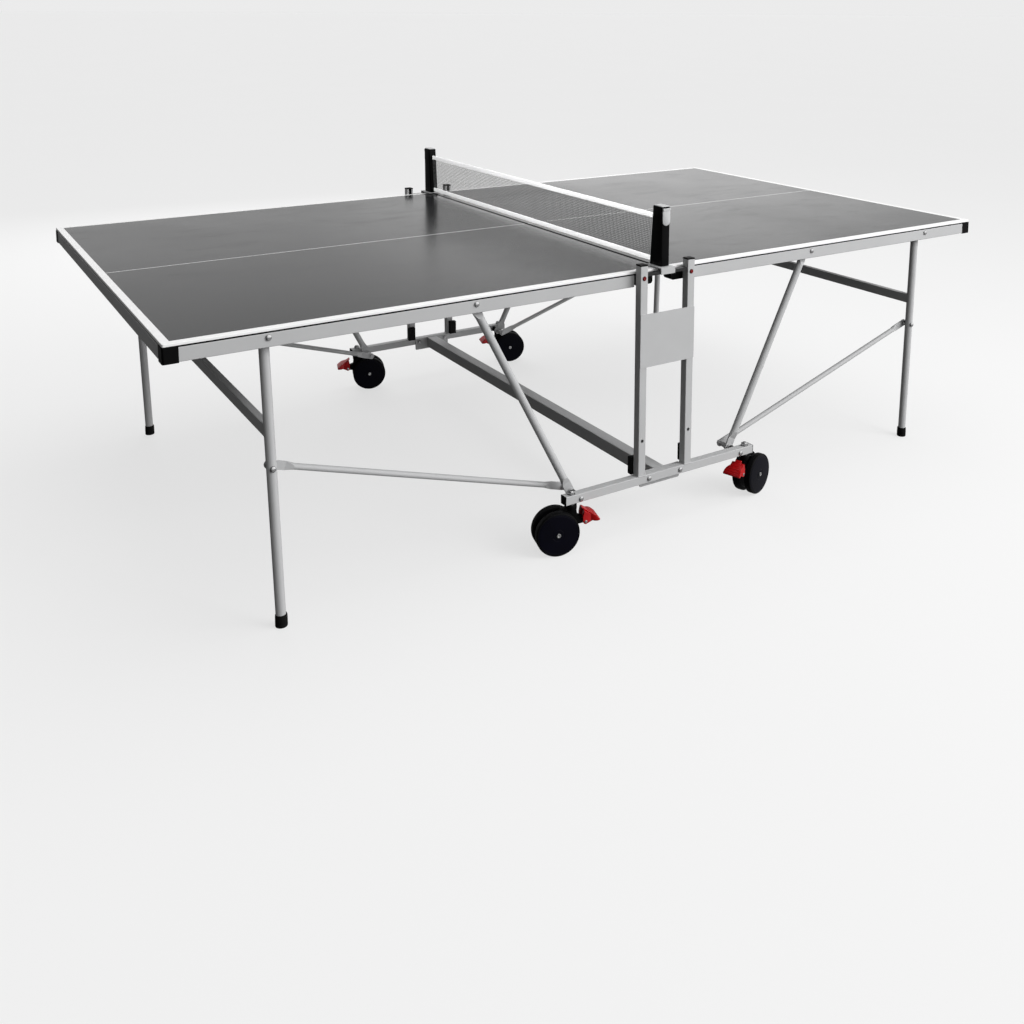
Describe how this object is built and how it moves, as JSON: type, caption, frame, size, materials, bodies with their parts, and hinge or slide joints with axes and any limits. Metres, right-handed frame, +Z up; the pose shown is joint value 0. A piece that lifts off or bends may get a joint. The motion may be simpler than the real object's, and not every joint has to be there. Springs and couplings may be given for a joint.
{
  "type": "ping pong table",
  "caption": "Folding table tennis table: two hinged halves on a wheeled centre carriage, with a net, folding legs, braces, lock buttons and braked swivel casters.",
  "frame": {"origin": "on the floor, under the middle of the net", "axes": "+X along the table, towards the right half; +Y across it, along the net; +Z up"},
  "size_m": [2.7424, 1.6656, 0.9405],
  "materials": {
    "playing_board": "matt painted engineered board with white lines",
    "grey_steel": "light grey powder coat",
    "black_steel": "satin black paint",
    "bright_steel": "bright zinc plate",
    "black_plastic": "satin",
    "grey_plastic": "satin",
    "black_rubber": "matt",
    "wheel_plastic": "satin",
    "red_plastic": "gloss",
    "net_fabric": "open knotted mesh",
    "white_tape": "woven cotton tape"
  },
  "bodies": {
    "carriage": {"rails": "grey_steel", "guide_posts": "grey_steel", "post_caps": "black_plastic", "post_plates": "grey_steel", "crossbeam": "grey_steel", "landing_buffers": "black_rubber", "rail_end_plugs": "black_plastic", "link_spacers": "black_plastic", "carriage_fasteners": "bright_steel", "net_support_bars": "black_steel", "net_brackets": "grey_steel", "net_posts": "black_plastic", "net_clips": "grey_plastic", "net_mesh": "net_fabric", "net_tapes": "white_tape"},
    "shoes_right": {"slide_shoes_right": "black_plastic"},
    "half_right": {"top_board_right": "playing_board", "edge_strip_right": "black_plastic", "side_rails_right": "grey_steel", "cross_rails_right": "grey_steel", "corner_caps_right": "black_plastic", "hinge_blocks_right": "black_plastic", "frame_bolts_right": "bright_steel"},
    "leg_frame_right": {"leg_tubes_right": "grey_steel", "leg_crossbar_right": "grey_steel", "foot_caps_right": "black_rubber", "leg_bolts_right": "bright_steel"},
    "braces_right": {"brace_tubes_right": "grey_steel"},
    "rods_right": {"strut_rods_right": "grey_steel"},
    "shoes_left": {"slide_shoes_left": "black_plastic"},
    "half_left": {"top_board_left": "playing_board", "edge_strip_left": "black_plastic", "side_rails_left": "grey_steel", "cross_rails_left": "grey_steel", "corner_caps_left": "black_plastic", "hinge_blocks_left": "black_plastic", "frame_bolts_left": "bright_steel"},
    "leg_frame_left": {"leg_tubes_left": "grey_steel", "leg_crossbar_left": "grey_steel", "foot_caps_left": "black_rubber", "leg_bolts_left": "bright_steel"},
    "braces_left": {"brace_tubes_left": "grey_steel"},
    "rods_left": {"strut_rods_left": "grey_steel"},
    "button_left_near": {"lock_button_left_near": "red_plastic"},
    "caster_left_near": {"caster_housing_left_near": "black_plastic"},
    "wheels_left_near": {"caster_wheels_left_near": "wheel_plastic"},
    "lever_left_near": {"brake_lever_left_near": "red_plastic"},
    "button_right_near": {"lock_button_right_near": "red_plastic"},
    "caster_right_near": {"caster_housing_right_near": "black_plastic"},
    "wheels_right_near": {"caster_wheels_right_near": "wheel_plastic"},
    "lever_right_near": {"brake_lever_right_near": "red_plastic"},
    "button_left_far": {"lock_button_left_far": "red_plastic"},
    "caster_left_far": {"caster_housing_left_far": "black_plastic"},
    "wheels_left_far": {"caster_wheels_left_far": "wheel_plastic"},
    "lever_left_far": {"brake_lever_left_far": "red_plastic"},
    "button_right_far": {"lock_button_right_far": "red_plastic"},
    "caster_right_far": {"caster_housing_right_far": "black_plastic"},
    "wheels_right_far": {"caster_wheels_right_far": "wheel_plastic"},
    "lever_right_far": {"brake_lever_right_far": "red_plastic"}
  },
  "joints": [
    {"name": "shoe_slide_right", "type": "slide", "parent": "carriage", "child": "shoes_right", "axis": [0, 0, -1], "range_m": [0, 0.4764]},
    {"name": "fold_right", "type": "hinge", "parent": "shoes_right", "child": "half_right", "pos_m": [0.084, 0, 0.744], "axis": [0, -1, 0], "range_deg": [0, 90]},
    {"name": "leg_fold_right", "type": "hinge", "parent": "half_right", "child": "leg_frame_right", "pos_m": [1.136, 0, 0.738], "axis": [0, 1, 0], "range_deg": [0, 63.44]},
    {"name": "brace_turn_right", "type": "hinge", "parent": "half_right", "child": "braces_right", "pos_m": [0.597, 0, 0.738], "axis": [0, 1, 0], "range_deg": [0, 45.04]},
    {"name": "rod_turn_right", "type": "hinge", "parent": "leg_frame_right", "child": "rods_right", "pos_m": [1.12702, 0, 0.40662], "axis": [0, -1, 0], "range_deg": [0, 50.22]},
    {"name": "shoe_slide_left", "type": "slide", "parent": "carriage", "child": "shoes_left", "axis": [0, 0, -1], "range_m": [0, 0.4764]},
    {"name": "fold_left", "type": "hinge", "parent": "shoes_left", "child": "half_left", "pos_m": [-0.084, 0, 0.744], "axis": [0, 1, 0], "range_deg": [0, 90]},
    {"name": "leg_fold_left", "type": "hinge", "parent": "half_left", "child": "leg_frame_left", "pos_m": [-1.136, 0, 0.738], "axis": [0, -1, 0], "range_deg": [0, 63.44]},
    {"name": "brace_turn_left", "type": "hinge", "parent": "half_left", "child": "braces_left", "pos_m": [-0.597, 0, 0.738], "axis": [0, -1, 0], "range_deg": [0, 45.04]},
    {"name": "rod_turn_left", "type": "hinge", "parent": "leg_frame_left", "child": "rods_left", "pos_m": [-1.12702, 0, 0.40662], "axis": [0, 1, 0], "range_deg": [0, 50.22]},
    {"name": "press_left_near", "type": "slide", "parent": "carriage", "child": "button_left_near", "axis": [0, 1, 0], "range_m": [0, 0.003], "stiffness_N_per_m": 500},
    {"name": "swivel_left_near", "type": "hinge", "parent": "carriage", "child": "caster_left_near", "pos_m": [-0.318, -0.7805, 0.13], "axis": [0, 0, 1], "continuous": true},
    {"name": "roll_left_near", "type": "hinge", "parent": "caster_left_near", "child": "wheels_left_near", "pos_m": [-0.36147, -0.76885, 0.0625], "axis": [-0.2588, -0.9659, 0], "continuous": true},
    {"name": "brake_left_near", "type": "hinge", "parent": "caster_left_near", "child": "lever_left_near", "pos_m": [-0.28226, -0.79008, 0.086], "axis": [0.2588, 0.9659, 0], "range_deg": [0, 18]},
    {"name": "press_right_near", "type": "slide", "parent": "carriage", "child": "button_right_near", "axis": [0, 1, 0], "range_m": [0, 0.003], "stiffness_N_per_m": 500},
    {"name": "swivel_right_near", "type": "hinge", "parent": "carriage", "child": "caster_right_near", "pos_m": [0.318, -0.7805, 0.13], "axis": [0, 0, 1], "continuous": true},
    {"name": "roll_right_near", "type": "hinge", "parent": "caster_right_near", "child": "wheels_right_near", "pos_m": [0.3608, -0.76659, 0.0625], "axis": [-0.309, 0.9511, 0], "continuous": true},
    {"name": "brake_right_near", "type": "hinge", "parent": "caster_right_near", "child": "lever_right_near", "pos_m": [0.28281, -0.79193, 0.086], "axis": [0.309, -0.9511, 0], "range_deg": [0, 18]},
    {"name": "press_left_far", "type": "slide", "parent": "carriage", "child": "button_left_far", "axis": [0, -1, 0], "range_m": [0, 0.003], "stiffness_N_per_m": 500},
    {"name": "swivel_left_far", "type": "hinge", "parent": "carriage", "child": "caster_left_far", "pos_m": [-0.318, 0.7805, 0.13], "axis": [0, 0, 1], "continuous": true},
    {"name": "roll_left_far", "type": "hinge", "parent": "caster_left_far", "child": "wheels_left_far", "pos_m": [-0.2752, 0.76659, 0.0625], "axis": [0.309, 0.9511, 0], "continuous": true},
    {"name": "brake_left_far", "type": "hinge", "parent": "caster_left_far", "child": "lever_left_far", "pos_m": [-0.35319, 0.79193, 0.086], "axis": [-0.309, -0.9511, 0], "range_deg": [0, 18]},
    {"name": "press_right_far", "type": "slide", "parent": "carriage", "child": "button_right_far", "axis": [0, -1, 0], "range_m": [0, 0.003], "stiffness_N_per_m": 500},
    {"name": "swivel_right_far", "type": "hinge", "parent": "carriage", "child": "caster_right_far", "pos_m": [0.318, 0.7805, 0.13], "axis": [0, 0, 1], "continuous": true},
    {"name": "roll_right_far", "type": "hinge", "parent": "caster_right_far", "child": "wheels_right_far", "pos_m": [0.36126, 0.7681, 0.0625], "axis": [0.2756, 0.9613, 0], "continuous": true},
    {"name": "brake_right_far", "type": "hinge", "parent": "caster_right_far", "child": "lever_right_far", "pos_m": [0.28243, 0.7907, 0.086], "axis": [-0.2756, -0.9613, 0], "range_deg": [0, 18]}
  ],
  "couplings": [
    {"joint": "shoe_slide_right", "follows": "fold_right", "m_per_rad": 0.30326},
    {"joint": "leg_fold_right", "follows": "fold_right", "ratio": 0.70467},
    {"joint": "brace_turn_right", "follows": "fold_right", "ratio": 0.50022},
    {"joint": "rod_turn_right", "follows": "fold_right", "ratio": 0.55778},
    {"joint": "shoe_slide_left", "follows": "fold_left", "m_per_rad": 0.30326},
    {"joint": "leg_fold_left", "follows": "fold_left", "ratio": 0.70467},
    {"joint": "brace_turn_left", "follows": "fold_left", "ratio": 0.50022},
    {"joint": "rod_turn_left", "follows": "fold_left", "ratio": 0.55778}
  ]
}
